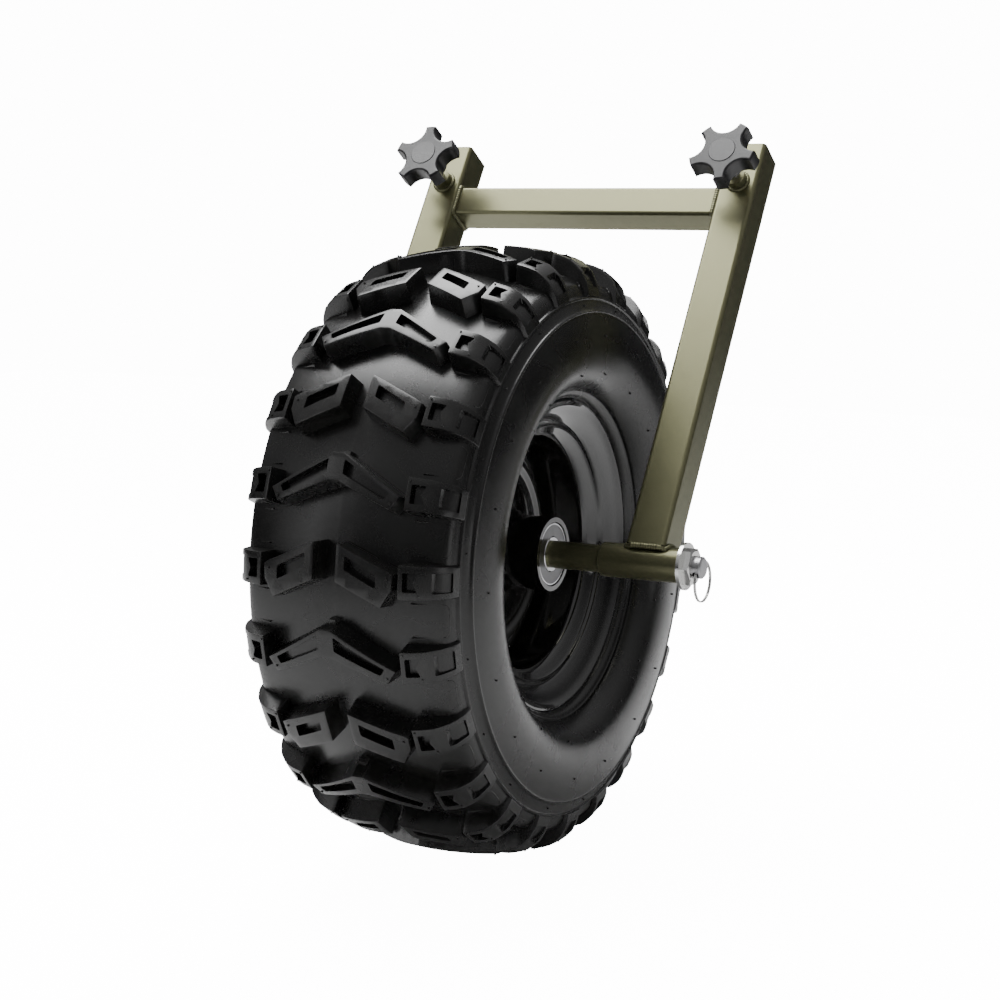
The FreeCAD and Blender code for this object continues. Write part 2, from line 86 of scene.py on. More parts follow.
class GroupBuilder:
    """Builds one shader node group with named sockets."""

    def __init__(self, name: str, inputs: dict[str, float], outputs: dict[str, str]) -> None:
        """Starts the group.

        Args:
            name: name of the group.
            inputs: input socket names with their default values.
            outputs: output socket names with their socket types.
        """
        self.tree = bpy.data.node_groups.new(name, "ShaderNodeTree")
        for socket, value in inputs.items():
            made = self.tree.interface.new_socket(
                name=socket, in_out="INPUT", socket_type="NodeSocketFloat")
            made.default_value = value
        for socket, kind in outputs.items():
            self.tree.interface.new_socket(name=socket, in_out="OUTPUT", socket_type=kind)
        self.start = self.tree.nodes.new("NodeGroupInput")
        self.end = self.tree.nodes.new("NodeGroupOutput")

    def node(self, kind: str, **settings: object) -> bpy.types.Node:
        """Adds a node.

        Args:
            kind: the node's type.
            **settings: attributes to set on it.

        Returns:
            The new node.
        """
        made = self.tree.nodes.new(kind)
        for key, value in settings.items():
            setattr(made, key, value)
        return made

    def link(self, source: bpy.types.NodeSocket, target: bpy.types.NodeSocket) -> None:
        """Joins two sockets."""
        self.tree.links.new(source, target)

    def math(self, operation: str, *values: object) -> bpy.types.NodeSocket:
        """Adds a maths node.

        Args:
            operation: the node's operation.
            *values: numbers or sockets for its inputs.

        Returns:
            The node's output socket.
        """
        made = self.node("ShaderNodeMath", operation=operation)
        for index, value in enumerate(values):
            if isinstance(value, (int, float)):
                made.inputs[index].default_value = value
            else:
                self.link(value, made.inputs[index])
        return made.outputs[0]

    def noise(self, scale: object, detail: float, roughness: float = 0.5,
              stretch: Sequence[float] = (1.0, 1.0, 1.0)) -> bpy.types.NodeSocket:
        """Adds noise in the object's own coordinates.

        Args:
            scale: number or socket, features per metre.
            detail: octaves of detail.
            roughness: strength of the finer octaves.
            stretch: scale of the coordinates along each axis.

        Returns:
            The noise's value socket.
        """
        place = self.node("ShaderNodeTexCoord")
        squeeze = self.node("ShaderNodeMapping")
        squeeze.inputs["Scale"].default_value = stretch
        self.link(place.outputs["Object"], squeeze.inputs["Vector"])
        made = self.node("ShaderNodeTexNoise")
        made.inputs["Detail"].default_value = detail
        made.inputs["Roughness"].default_value = roughness
        self.link(squeeze.outputs["Vector"], made.inputs["Vector"])
        if isinstance(scale, (int, float)):
            made.inputs["Scale"].default_value = scale
        else:
            self.link(scale, made.inputs["Scale"])
        return made.outputs["Fac"]


def grain_group() -> bpy.types.ShaderNodeTree:
    """Fine surface texture: a height, and a slow value that varies the gloss.

    Returns:
        The node group.
    """
    build = GroupBuilder("surface_grain", {"Scale": 900.0, "Cloud Scale": 14.0},
                         {"Height": "NodeSocketFloat", "Cloud": "NodeSocketFloat"})
    fine = build.noise(build.start.outputs["Scale"], 3.0, 0.6)
    cloud = build.noise(build.start.outputs["Cloud Scale"], 4.0, 0.55)
    build.link(fine, build.end.inputs["Height"])
    build.link(cloud, build.end.inputs["Cloud"])
    return build.tree


def wear_group() -> bpy.types.ShaderNodeTree:
    """Mask of rubbed edges, broken up by noise.

    Returns:
        The node group.
    """
    build = GroupBuilder("edge_wear", {"Amount": 0.5, "Break Up": 120.0},
                         {"Mask": "NodeSocketFloat"})
    shape = build.node("ShaderNodeNewGeometry")
    rise = build.math("SUBTRACT", shape.outputs["Pointiness"], 0.52)
    sharp = build.math("MULTIPLY", rise, 9.0)
    spots = build.noise(build.start.outputs["Break Up"], 4.0, 0.65)
    broken = build.math("MULTIPLY", sharp, spots)
    scaled = build.math("MULTIPLY", broken, build.start.outputs["Amount"])
    clamp = build.node("ShaderNodeClamp")
    build.link(scaled, clamp.inputs["Value"])
    build.link(clamp.outputs["Result"], build.end.inputs["Mask"])
    return build.tree


def dust_group() -> bpy.types.ShaderNodeTree:
    """Mask of dust that lies on upward faces.

    Returns:
        The node group.
    """
    build = GroupBuilder("settled_dust", {"Amount": 0.2, "Patch Scale": 30.0},
                         {"Mask": "NodeSocketFloat"})
    shape = build.node("ShaderNodeNewGeometry")
    split = build.node("ShaderNodeSeparateXYZ")
    build.link(shape.outputs["Normal"], split.inputs["Vector"])
    upward = build.math("MAXIMUM", split.outputs["Z"], 0.0)
    patches = build.noise(build.start.outputs["Patch Scale"], 5.0, 0.6)
    dusty = build.math("MULTIPLY", upward, patches)
    build.link(build.math("MULTIPLY", dusty, build.start.outputs["Amount"]),
               build.end.inputs["Mask"])
    return build.tree


GROUPS = {"grain": grain_group(), "wear": wear_group(), "dust": dust_group()}


@dataclass(frozen=True)
class Finish:
    """A surface finish, made into one Principled material.

    Attributes hold the colours, the gloss and how strongly each shared effect shows.
    """

    name: str
    base: Colour
    second: Colour
    roughness: float
    metallic: float = 0.0
    coat: float = 0.0
    coat_roughness: float = 0.1
    specular: float = 0.5
    grain_scale: float = 900.0
    grain_depth: float = 0.00002
    cloud_scale: float = 14.0
    gloss_spread: float = 0.12
    wear: float = 0.0
    wear_colour: Colour = (0.3, 0.3, 0.3)
    dust: float = 0.0
    dust_colour: Colour = (0.35, 0.33, 0.3)

    def material(self) -> bpy.types.Material:
        """Builds the material, or returns the one already built.

        Returns:
            The finish as a Blender material.
        """
        found = bpy.data.materials.get(self.name)
        if found:
            return found
        made = bpy.data.materials.new(self.name)
        made.use_nodes = True
        tree = made.node_tree
        tree.nodes.clear()
        out = tree.nodes.new("ShaderNodeOutputMaterial")
        shader = tree.nodes.new("ShaderNodeBsdfPrincipled")
        tree.links.new(shader.outputs["BSDF"], out.inputs["Surface"])
        shader.inputs["Metallic"].default_value = self.metallic
        shader.inputs["Coat Weight"].default_value = self.coat
        shader.inputs["Coat Roughness"].default_value = self.coat_roughness
        shader.inputs["Specular IOR Level"].default_value = self.specular
        grain = self._group(tree, "grain")
        grain.inputs["Scale"].default_value = self.grain_scale
        grain.inputs["Cloud Scale"].default_value = self.cloud_scale
        colour = self._mix(tree, grain.outputs["Cloud"], self.base, self.second)
        if self.wear:
            wear = self._group(tree, "wear")
            wear.inputs["Amount"].default_value = self.wear
            colour = self._mix(tree, wear.outputs["Mask"], colour, self.wear_colour)
        if self.dust:
            dust = self._group(tree, "dust")
            dust.inputs["Amount"].default_value = self.dust
            colour = self._mix(tree, dust.outputs["Mask"], colour, self.dust_colour)
        tree.links.new(colour, shader.inputs["Base Color"])
        gloss = tree.nodes.new("ShaderNodeMapRange")
        gloss.inputs["From Min"].default_value = 0.3
        gloss.inputs["From Max"].default_value = 0.7
        gloss.inputs["To Min"].default_value = max(self.roughness - self.gloss_spread / 2, 0.02)
        gloss.inputs["To Max"].default_value = self.roughness + self.gloss_spread / 2
        tree.links.new(grain.outputs["Cloud"], gloss.inputs["Value"])
        tree.links.new(gloss.outputs["Result"], shader.inputs["Roughness"])
        bump = tree.nodes.new("ShaderNodeBump")
        bump.inputs["Distance"].default_value = self.grain_depth
        tree.links.new(grain.outputs["Height"], bump.inputs["Height"])
        tree.links.new(bump.outputs["Normal"], shader.inputs["Normal"])
        return made

    def _group(self, tree: bpy.types.NodeTree, key: str) -> bpy.types.Node:
        """Places a shared group in the material."""
        node = tree.nodes.new("ShaderNodeGroup")
        node.node_tree = GROUPS[key]
        return node

    def _mix(self, tree: bpy.types.NodeTree, factor: bpy.types.NodeSocket, first: object,
             second: object) -> bpy.types.NodeSocket:
        """Mixes two colours, each a colour or a socket.

        Args:
            tree: the material's nodes.
            factor: socket that gives the share of the second colour.
            first: colour where the factor is 0.
            second: colour where the factor is 1.

        Returns:
            The mixed colour's socket.
        """
        node = tree.nodes.new("ShaderNodeMix")
        node.data_type = "RGBA"
        tree.links.new(factor, node.inputs["Factor"])
        for socket, value in (("A", first), ("B", second)):
            target = [i for i in node.inputs if i.name == socket and i.type == "RGBA"][0]
            if isinstance(value, tuple):
                target.default_value = (*value, 1.0)
            else:
                tree.links.new(value, target)
        return [o for o in node.outputs if o.type == "RGBA"][0]


OLIVE_COAT = Finish("olive_powder_coat", (0.135, 0.134, 0.072), (0.17, 0.168, 0.096), 0.32,
                    metallic=0.75, grain_scale=1500.0, grain_depth=0.00004, gloss_spread=0.06)
WELD_COAT = Finish("olive_coated_weld", (0.125, 0.124, 0.066), (0.16, 0.158, 0.09), 0.36,
                   metallic=0.7, grain_scale=700.0, grain_depth=0.00025)
BLACK_COAT = Finish("gloss_black_coat", (0.006, 0.006, 0.006), (0.009, 0.009, 0.009), 0.08,
                    coat=0.6, coat_roughness=0.03, grain_scale=300.0, grain_depth=0.000006,
                    gloss_spread=0.03)
TYRE_RUBBER = Finish("moulded_tyre_rubber", (0.0035, 0.0035, 0.0033), (0.006, 0.006, 0.0057),
                     0.27, specular=0.5, grain_scale=1400.0, grain_depth=0.00004,
                     cloud_scale=22.0, gloss_spread=0.1, wear=0.5,
                     wear_colour=(0.05, 0.05, 0.048))
BRIGHT_ZINC = Finish("bright_zinc", (0.82, 0.82, 0.80), (0.74, 0.74, 0.73), 0.2,
                     metallic=1.0, grain_scale=1600.0, grain_depth=0.00002)
DARK_ZINC = Finish("zinc_end_face", (0.42, 0.42, 0.43), (0.34, 0.34, 0.35), 0.35,
                   metallic=1.0, grain_scale=1600.0, grain_depth=0.00003)
BEARING_STEEL = Finish("ground_bearing_steel", (0.62, 0.62, 0.63), (0.55, 0.55, 0.57), 0.13,
                       metallic=1.0, grain_scale=2000.0, grain_depth=0.000008)
SHIELD_STEEL = Finish("pressed_shield_steel", (0.2, 0.2, 0.205), (0.16, 0.16, 0.165), 0.36,
                      metallic=1.0, grain_scale=900.0, grain_depth=0.00002)
KNOB_PLASTIC = Finish("satin_knob_plastic", (0.012, 0.012, 0.013), (0.017, 0.017, 0.018), 0.36,
                      specular=0.45, grain_scale=2200.0, grain_depth=0.00004, wear=0.4,
                      wear_colour=(0.09, 0.09, 0.093))
KNOB_CAP_PLASTIC = Finish("satin_cap_plastic", (0.017, 0.017, 0.018), (0.022, 0.022, 0.023),
                          0.33, specular=0.5, grain_scale=2200.0, grain_depth=0.00003)
VALVE_RUBBER = Finish("valve_rubber", (0.02, 0.02, 0.02), (0.03, 0.03, 0.03), 0.6,
                      grain_scale=1200.0)
PLAIN_BRASS = Finish("machined_brass", (0.75, 0.55, 0.25), (0.68, 0.5, 0.22), 0.3,
                     metallic=1.0, grain_scale=1500.0)


# Mesh helpers -----------------------------------------------------------------------------


def as_piece(name: str, mesh: bpy.types.Mesh, finish: Finish, body: str,
             stands_for: Sequence[str] = (), sharp: float = 35.0) -> bpy.types.Object:
    """Puts a mesh in the scene as a piece of the object.

    Args:
        name: the piece's name.
        mesh: its mesh, in metres, in the row frame.
        finish: its surface finish.
        body: the body it moves with.
        stands_for: CAD nodes it replaces.
        sharp: angle in degrees above which an edge stays crisp.

    Returns:
        The new object.
    """
    for polygon in mesh.polygons:
        polygon.use_smooth = True
    mesh.set_sharp_from_angle(angle=math.radians(sharp))
    mesh.materials.clear()
    mesh.materials.append(finish.material())
    made = bpy.data.objects.new(name, mesh)
    bpy.context.scene.collection.objects.link(made)
    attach(made, body)
    if stands_for:
        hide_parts(*stands_for)
    LOG.info("%s: %d faces on %s", name, len(mesh.polygons), body)
    return made


def to_mesh(name: str, bm: bmesh.types.BMesh) -> bpy.types.Mesh:
    """Turns a bmesh into a mesh with its normals outward, and frees it."""
    bmesh.ops.recalc_face_normals(bm, faces=bm.faces)
    mesh = bpy.data.meshes.new(name)
    bm.to_mesh(mesh)
    bm.free()
    return mesh


def smooth_line(points: Sequence[Pair], steps: int) -> list[Pair]:
    """Curve through every point of an open line.

    Args:
        points: the points to pass through.
        steps: pieces between one point and the next.

    Returns:
        The curve's points.
    """
    ends = [points[0], *points, points[-1]]
    curve: list[Pair] = []
    for i in range(1, len(ends) - 2):
        for step in range(steps):
            t = step / steps
            curve.append(tuple(
                0.5 * (2 * b + (c - a) * t + (2 * a - 5 * b + 4 * c - d) * t * t
                       + (3 * b - a - 3 * c + d) * t ** 3)
                for a, b, c, d in zip(*ends[i - 1:i + 3])))
    curve.append(points[-1])
    return curve


def offset_line(points: Sequence[Pair], distance: float, closed: bool = False) -> list[Pair]:
    """Line moved sideways, to the left of the direction of travel, with mitred corners.

    Args:
        points: the line.
        distance: how far it moves.
        closed: whether the last point joins the first.

    Returns:
        The moved points.
    """
    moved: list[Pair] = []
    count = len(points)
    for i, here in enumerate(points):
        before = points[i - 1] if closed or i > 0 else None
        after = points[(i + 1) % count] if closed or i < count - 1 else None
        total = Vector((0.0, 0.0))
        used = 0
        for start, end in ((before, here), (here, after)):
            if start is None or end is None:
                continue
            way = (Vector(end) - Vector(start)).normalized()
            total += Vector((-way.y, way.x))
            used += 1
        scale = distance * used / total.length_squared
        moved.append((here[0] + total.x * scale, here[1] + total.y * scale))
    return moved


def filleted(points: Sequence[Pair], radii: Sequence[float], steps: int = 5) -> list[Pair]:
    """Open line with its corners rounded.

    Args:
        points: the corners.
        radii: reach of the rounding along each side of each corner.
        steps: pieces in each rounding.

    Returns:
        The rounded line.
    """
    line: list[Pair] = [points[0]]
    for before, here, after, reach in zip(points, points[1:], points[2:], radii[1:-1]):
        a, b, c = Vector(before), Vector(here), Vector(after)
        cut = min(reach, (a - b).length * 0.48, (c - b).length * 0.48)
        start = b + (a - b).normalized() * cut
        end = b + (c - b).normalized() * cut
        for step in range(steps + 1):
            t = step / steps
            line.append(tuple(start * (1 - t) ** 2 + b * (2 * t * (1 - t)) + end * t * t))
    line.append(points[-1])
    return line


def lathe(name: str, outline: Sequence[Pair], segments: int) -> bpy.types.Mesh:
    """Solid of revolution about the axle.

    Args:
        name: the mesh's name.
        outline: closed outline of (x, radius) points in millimetres.
        segments: divisions round the axle.

    Returns:
        The mesh, in metres.
    """
    bm = bmesh.new()
    rings = []
    for turn in range(segments):
        angle = 2 * math.pi * turn / segments
        rings.append([bm.verts.new((x * MM, -r * math.cos(angle) * MM,
                                    (r * math.sin(angle) + AXLE_HEIGHT) * MM))
                      for x, r in outline])
    for a, b in zip(rings, rings[1:] + rings[:1]):
        for i in range(len(outline)):
            j = (i + 1) % len(outline)
            bm.faces.new((a[i], a[j], b[j], b[i]))
    return to_mesh(name, bm)


def bead_on(bm: bmesh.types.BMesh, path: Sequence[Vector], radius: float, closed: bool,
            seed: int) -> None:
    """Adds a rippled weld bead along a path.

    Args:
        bm: the bmesh to add to.
        path: points of the bead's middle, in millimetres.
        radius: the bead's half width.
        closed: whether the bead runs back to its start.
        seed: seed of the unevenness.
    """
    chance = random.Random(seed)
    points = list(path)
    length = sum((b - a).length for a, b in zip(points, points[1:]))
    count = max(int(length / BEAD_STEP), 8)
    spots = resample(points, count, closed)
    sides = 10
    rings = []
    ripple_at = 0.0
    for i, here in enumerate(spots):
        ahead = spots[(i + 1) % len(spots)] if closed or i < len(spots) - 1 else here
        behind = spots[i - 1] if closed or i > 0 else here
        way = (ahead - behind).normalized()
        first = way.orthogonal().normalized() if not rings else turned
        first = (first - way * first.dot(way)).normalized()
        turned = first
        second = way.cross(first)
        ripple_at += BEAD_STEP / RIPPLE_LENGTH + chance.uniform(-0.02, 0.02)
        wave = abs(math.sin(math.pi * ripple_at))
        fade = 1.0 if closed else min(1.0, 0.35 + min(i, len(spots) - 1 - i) / 4)
        size = radius * (0.84 + 0.24 * wave + chance.uniform(-0.03, 0.03)) * fade
        rings.append([bm.verts.new((here + (first * math.cos(2 * math.pi * k / sides)
                                            + second * math.sin(2 * math.pi * k / sides))
                                    * size) * MM) for k in range(sides)])
    last = rings[1:] + rings[:1] if closed else rings[1:]
    for a, b in zip(rings, last):
        for k in range(sides):
            m = (k + 1) % sides
            bm.faces.new((a[k], a[m], b[m], b[k]))
    if not closed:
        bm.faces.new(rings[0])
        bm.faces.new(rings[-1])


def resample(points: Sequence[Vector], count: int, closed: bool) -> list[Vector]:
    """Evenly spaced points along a line.

    Args:
        points: the line's points.
        count: number of steps along it.
        closed: whether the line runs back to its start.

    Returns:
        The new points.
    """
    line = list(points) + ([points[0]] if closed else [])
    lengths = [0.0]
    for a, b in zip(line, line[1:]):
        lengths.append(lengths[-1] + (b - a).length)
    spots: list[Vector] = []
    segment = 0
    for i in range(count if closed else count + 1):
        want = lengths[-1] * i / count
        while segment < len(line) - 2 and lengths[segment + 1] < want:
            segment += 1
        run = lengths[segment + 1] - lengths[segment]
        share = (want - lengths[segment]) / run if run else 0.0
        spots.append(line[segment].lerp(line[segment + 1], share))
    return spots


def on_wheel(mesh: bpy.types.Mesh) -> bpy.types.Mesh:
    """Moves a mesh made about the wheel's middle plane to its place on the axle."""
    mesh.transform(Matrix.Translation((WHEEL_OFFSET * MM, 0.0, 0.0)))
    return mesh


def dress(finish: Finish, *nodes: str) -> None:
    """Gives CAD nodes a finish.

    Args:
        finish: the finish.
        *nodes: the nodes that get it.
    """
    for node in nodes:
        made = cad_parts[node]
        for index in range(len(made.material_slots)):
            made.material_slots[index].material = finish.material()
        LOG.info("%s: CAD node in %s", node, finish.name)


# Tyre -------------------------------------------------------------------------------------


@dataclass
class Tyre:
    """The knobbly tyre: carcass, tread blocks, pocket outlines, rings and nibs."""

    rows: int = 24
    first_row: float = 22.6
    mm_per_degree: float = 3.8
    wall_flare: float = 1.6
    block_foot: float = -0.12
    flat_height: float = 15.0
    round_steps: int = 216
    slot_floor: float = 0.62
    edge: float = 0.7
    carcass_knots: list[Pair] = field(default_factory=lambda: [
        (0.0, 208.0), (12.0, 207.8), (24.0, 207.2), (36.0, 206.1), (48.0, 204.4),
        (60.0, 202.3), (69.0, 200.0), (74.8, 196.4), (77.6, 191.8), (79.4, 186.8)])
    crown_knots: list[Pair] = field(default_factory=lambda: [
        (0.0, 223.3), (12.0, 223.0), (24.0, 222.2), (36.0, 220.8), (48.5, 218.7),
        (59.5, 216.0), (68.0, 212.6), (75.8, 204.6), (79.8, 196.0), (80.9, 187.6)])
    across_knots: list[float] = field(default_factory=lambda: [
        0.0, 12.0, 24.0, 36.0, 48.0, 59.0, 68.0, 78.0, 87.0, 96.0])

    def surface(self, across: float, rise: float) -> Pair:
        """Point of the tread between the carcass and the tread's top.

        Args:
            across: distance over the tread from its middle, in millimetres.
            rise: 0 on the carcass, 1 on the top of the blocks.

        Returns:
            The point's (x, radius).
        """
        knots = self.across_knots
        far = min(abs(across), knots[-1])
        i = max(k for k in range(len(knots) - 1) if knots[k] <= far)
        share = (far - knots[i]) / (knots[i + 1] - knots[i])
        low = Vector(self.carcass_knots[i]).lerp(Vector(self.carcass_knots[i + 1]), share)
        high = Vector(self.crown_knots[i]).lerp(Vector(self.crown_knots[i + 1]), share)
        point = low.lerp(high, rise)
        return (math.copysign(point.x, across) if across else 0.0, point.y)

    def place(self, across: float, along: float, rise: float, angle: float) -> Vector:
        """Point of the tread in the row frame, in metres.

        Args:
            across: distance over the tread from its middle.
            along: distance up the tread from the row's apex.
            rise: 0 on the carcass, 1 on the top of the blocks.
            angle: the row's angle above the wheel's front, in degrees.

        Returns:
            The point.
        """
        x, radius = self.surface(across, rise)
        turn = math.radians(angle + along / self.mm_per_degree)
        return Vector((x, -radius * math.cos(turn),
                       radius * math.sin(turn) + AXLE_HEIGHT)) * MM

    def carcass(self) -> bpy.types.Mesh:
        """Builds the carcass with its rings and bead.

        Returns:
            The carcass mesh.
        """
        crown = [(0.0, 207.3), (0.5, 207.9), (1.0, 208.0), (15.0, 207.7), (30.0, 206.6),
                 (48.0, 204.4), (60.0, 202.3), (69.0, 200.0), (74.6, 197.2), (77.4, 192.6),
                 (78.5, 188.6)]
        ring_a = [(79.0, 187.9), (80.2, 187.4), (80.7, 186.4), (80.0, 185.3)]
        band = [(80.7, 183.0), (82.2, 179.6), (83.2, 178.2)]
        ring_b = [(84.3, 177.8), (85.0, 176.9), (84.6, 175.9)]
        wall = [(85.4, 172.0), (87.0, 163.0), (88.0, 152.0), (87.6, 143.0), (85.6, 135.0),
                (81.6, 128.4), (76.0, 123.6), (70.5, 120.6), (68.4, 120.2), (67.4, 119.2),
                (66.6, 117.2), (64.6, 115.4), (62.4, 114.4)]
        seen = smooth_line(crown + ring_a + band + ring_b + wall, 3)
        bead = [(60.6, 114.0), (56.7, 110.5), (53.5, 102.4), (50.0, 97.4), (47.2, 96.5),
                (43.0, 101.7), (47.5, 114.2), (70.5, 126.0), (79.0, 140.0), (81.0, 152.0),
                (77.5, 174.0), (68.0, 187.0), (46.0, 197.0), (0.0, 199.5)]
        half = seen + bead
        outline = half + [(-x, r) for x, r in reversed(half[1:-1])]
        return lathe("tyre_carcass", outline, self.round_steps)

    def flat_block(self, outline: Sequence[Pair], slots: Sequence[Sequence[Pair]]
                   ) -> bmesh.types.BMesh:
        """Tread block before it is wrapped round the tyre.

        Coordinates are (across, along, rise), with rise 0 on the carcass and flat_height on top.

        Args:
            outline: the block's top corners, anticlockwise.
            slots: corners of the pockets sunk in its top.

        Returns:
            The block.
        """
        body = self._prism(outline, offset_line(outline, -self.wall_flare, closed=True),
                           self.block_foot * self.flat_height, self.flat_height)
        edges = [e for e in body.edges if e.calc_face_angle(0.0) > 0.5
                 and max(v.co.z for v in e.verts) > self.flat_height - 0.1]
        bmesh.ops.bevel(body, geom=edges, offset=self.edge, segments=2, profile=0.6,
                        affect="EDGES", clamp_overlap=True)
        if slots:
            body = self._pocketed(body, slots)
        for step in range(-18, 19):
            self._cut(body, Vector((step * 5.5 + 0.3, 0, 0)), ACROSS)
        for step in range(-6, 5):
            self._cut(body, Vector((0, step * 6.0 + 0.2, 0)), Vector((0, 1, 0)))
        bmesh.ops.triangulate(body, faces=[f for f in body.faces if len(f.verts) > 4])
        return body

    def _prism(self, top: Sequence[Pair], foot: Sequence[Pair], low: float, high: float
               ) -> bmesh.types.BMesh:
        """Closed prism between two outlines of the same corners."""
        bm = bmesh.new()
        upper = [bm.verts.new((x, y, high)) for x, y in top]
        lower = [bm.verts.new((x, y, low)) for x, y in foot]
        bm.faces.new(upper)
        bm.faces.new(list(reversed(lower)))
        for i in range(len(top)):
            j = (i + 1) % len(top)
            bm.faces.new((upper[i], lower[i], lower[j], upper[j]))
        bmesh.ops.recalc_face_normals(bm, faces=bm.faces)
        return bm

    def _pocketed(self, body: bmesh.types.BMesh, slots: Sequence[Sequence[Pair]]
                  ) -> bmesh.types.BMesh:
        """Block with its pockets cut out by a boolean."""
        cutter = bmesh.new()
        for corners in slots:
            tool = self._prism(offset_line(corners, -0.5, closed=True), corners,
                               self.slot_floor * self.flat_height, self.flat_height + 2.0)
            uprights = [e for e in tool.edges if abs(e.verts[0].co.z - e.verts[1].co.z) > 1]
            bmesh.ops.bevel(tool, geom=uprights, offset=0.9, segments=2, profile=0.5,
                            affect="EDGES", clamp_overlap=True)
            scrap = bpy.data.meshes.new("pocket")
            tool.to_mesh(scrap)
            tool.free()
            cutter.from_mesh(scrap)
        objects = []
        for name, source in (("block", body), ("cutter", cutter)):
            mesh = to_mesh(name, source)
            made = bpy.data.objects.new(name, mesh)
            bpy.context.scene.collection.objects.link(made)
            objects.append(made)
        change = objects[0].modifiers.new("pockets", "BOOLEAN")
        change.operation = "DIFFERENCE"
        change.object = objects[1]
        cut = bpy.data.meshes.new_from_object(
            objects[0].evaluated_get(bpy.context.evaluated_depsgraph_get()))
        for made in objects:
            bpy.data.objects.remove(made)
        result = bmesh.new()
        result.from_mesh(cut)
        return result

    def _cut(self, bm: bmesh.types.BMesh, point: Vector, normal: Vector) -> None:
        """Adds a line of vertices where a plane crosses the mesh."""
        bmesh.ops.bisect_plane(bm, geom=bm.verts[:] + bm.edges[:] + bm.faces[:],
                               plane_co=point, plane_no=normal, dist=0.02)

    def templates(self) -> tuple[list[bmesh.types.BMesh], list[bmesh.types.BMesh]]:
        """Blocks of a joined chevron row and of a split row.

        Returns:
            The blocks of the two kinds of row.
        """
        arm = [(48.0, -15.0), (42.0, -24.0), (4.0, -8.8)]
        chevron = [(4.0, 10.0), (-4.0, 10.0)]
        chevron += [(-x, y) for x, y in arm] + [(x, y) for x, y in reversed(arm)]
        arm_slot = [(6.5, 4.9), (6.5, -3.7), (38.0, -17.6), (40.5, -13.6)]
        split = [(8.6, 8.8), (8.6, -15.4), (40.6, -29.6), (47.6, -18.0), (48.2, -8.0),
                 (43.8, -5.6)]
        split_slot = [(15.5, 0.9), (15.5, -7.1), (37.0, -17.2), (37.0, -9.2)]
        shoulder = [(51.6, -1.5), (51.6, -23.5), (95.6, -23.5), (95.6, -1.5)]
        face_slot = [(55.0, -6.6), (55.0, -18.4), (63.6, -18.4), (61.0, -12.5), (63.6, -6.6)]
        window = [(73.5, -5.8), (73.5, -19.2), (88.0, -19.2), (88.0, -5.8)]
        right = [self.flat_block(shoulder, [face_slot, window])]
        joined = [self.flat_block(chevron, [arm_slot, self._mirrored(arm_slot)])]
        apart = [self.flat_block(split, [split_slot]),
                 self.flat_block(self._mirrored(split), [self._mirrored(split_slot)])]
        left = [self.flat_block(self._mirrored(shoulder),
                                [self._mirrored(face_slot), self._mirrored(window)])]
        return joined + left + right, apart + left + right

    def _mirrored(self, corners: Sequence[Pair]) -> list[Pair]:
        """The same corners on the tyre's other half."""
        return [(-x, y) for x, y in reversed(corners)]

    def ridge(self, bm: bmesh.types.BMesh, path: Sequence[Pair], angle: float, width: float,
              height: float, closed: bool) -> None:
        """Adds a thin raised line to the tread's carcass.

        Args:
            bm: the bmesh to add to.
            path: the line's (across, along) points.
            angle: the row's angle.
            width: half width of its foot.
            height: its height, as a share of a block's.
            closed: whether it runs back to its start.
        """
        left = offset_line(path, width, closed)
        right = offset_line(path, -width, closed)
        rows = [[bm.verts.new(self.place(x, y, rise, angle)) for x, y in line]
                for line, rise in ((left, -0.06), (path, height), (right, -0.06))]
        count = len(path) if closed else len(path) - 1
        for low, high in zip(rows, rows[1:] + rows[:1]):
            for i in range(count):
                j = (i + 1) % len(path)
                bm.faces.new((low[i], low[j], high[j], high[i]))
        if not closed:
            for end in (0, -1):
                bm.faces.new([row[end] for row in rows])

    def nib(self, bm: bmesh.types.BMesh, across: float, along: float, foot: float,
            angle: float, radius: float = 0.8, height: float = 0.1) -> None:
        """Adds a small round moulding nib on the tread."""
        low, high = [], []
        for k in range(8):
            turn = math.pi * k / 4
            x = across + radius * math.cos(turn)
            y = along + radius * math.sin(turn)
            low.append(bm.verts.new(self.place(x, y, foot - 0.05, angle)))
            high.append(bm.verts.new(self.place(x, y, foot + height, angle)))
        bm.faces.new(high)
        bm.faces.new(list(reversed(low)))
        for k in range(8):
            m = (k + 1) % 8
            bm.faces.new((low[k], low[m], high[m], high[k]))

    def details(self) -> bpy.types.Mesh:
        """Pocket outlines, apex tabs and nibs all round the tread.

        Returns:
            The mesh of these small pieces.
        """
        bm = bmesh.new()
        pocket = filleted([(54.0, -28.5), (84.5, -28.5), (84.5, -52.5), (54.0, -52.5)],
                          [0, 7, 7, 0], 4)
        for row in range(self.rows):
            angle = self.first_row - row * 360.0 / self.rows
            for sign in (-1, 1):
                path = [(sign * x, y) for x, y in pocket]
                self.ridge(bm, path, angle, 1.1, 0.13, False)
                self.nib(bm, sign * 53.4, -3.8, 1.0, angle, 0.7, 0.06)
                self.nib(bm, sign * 65.4, -21.0, 1.0, angle, 0.7, 0.06)
                if row % 2:
                    self.nib(bm, sign * 44.6, -11.0, 1.0, angle, 0.8, 0.06)
                else:
                    self.nib(bm, sign * 42.2, -20.4, 1.0, angle, 0.8, 0.06)
            if row % 2 == 0:
                self._tab(bm, angle)
        return to_mesh("tyre_details", bm)

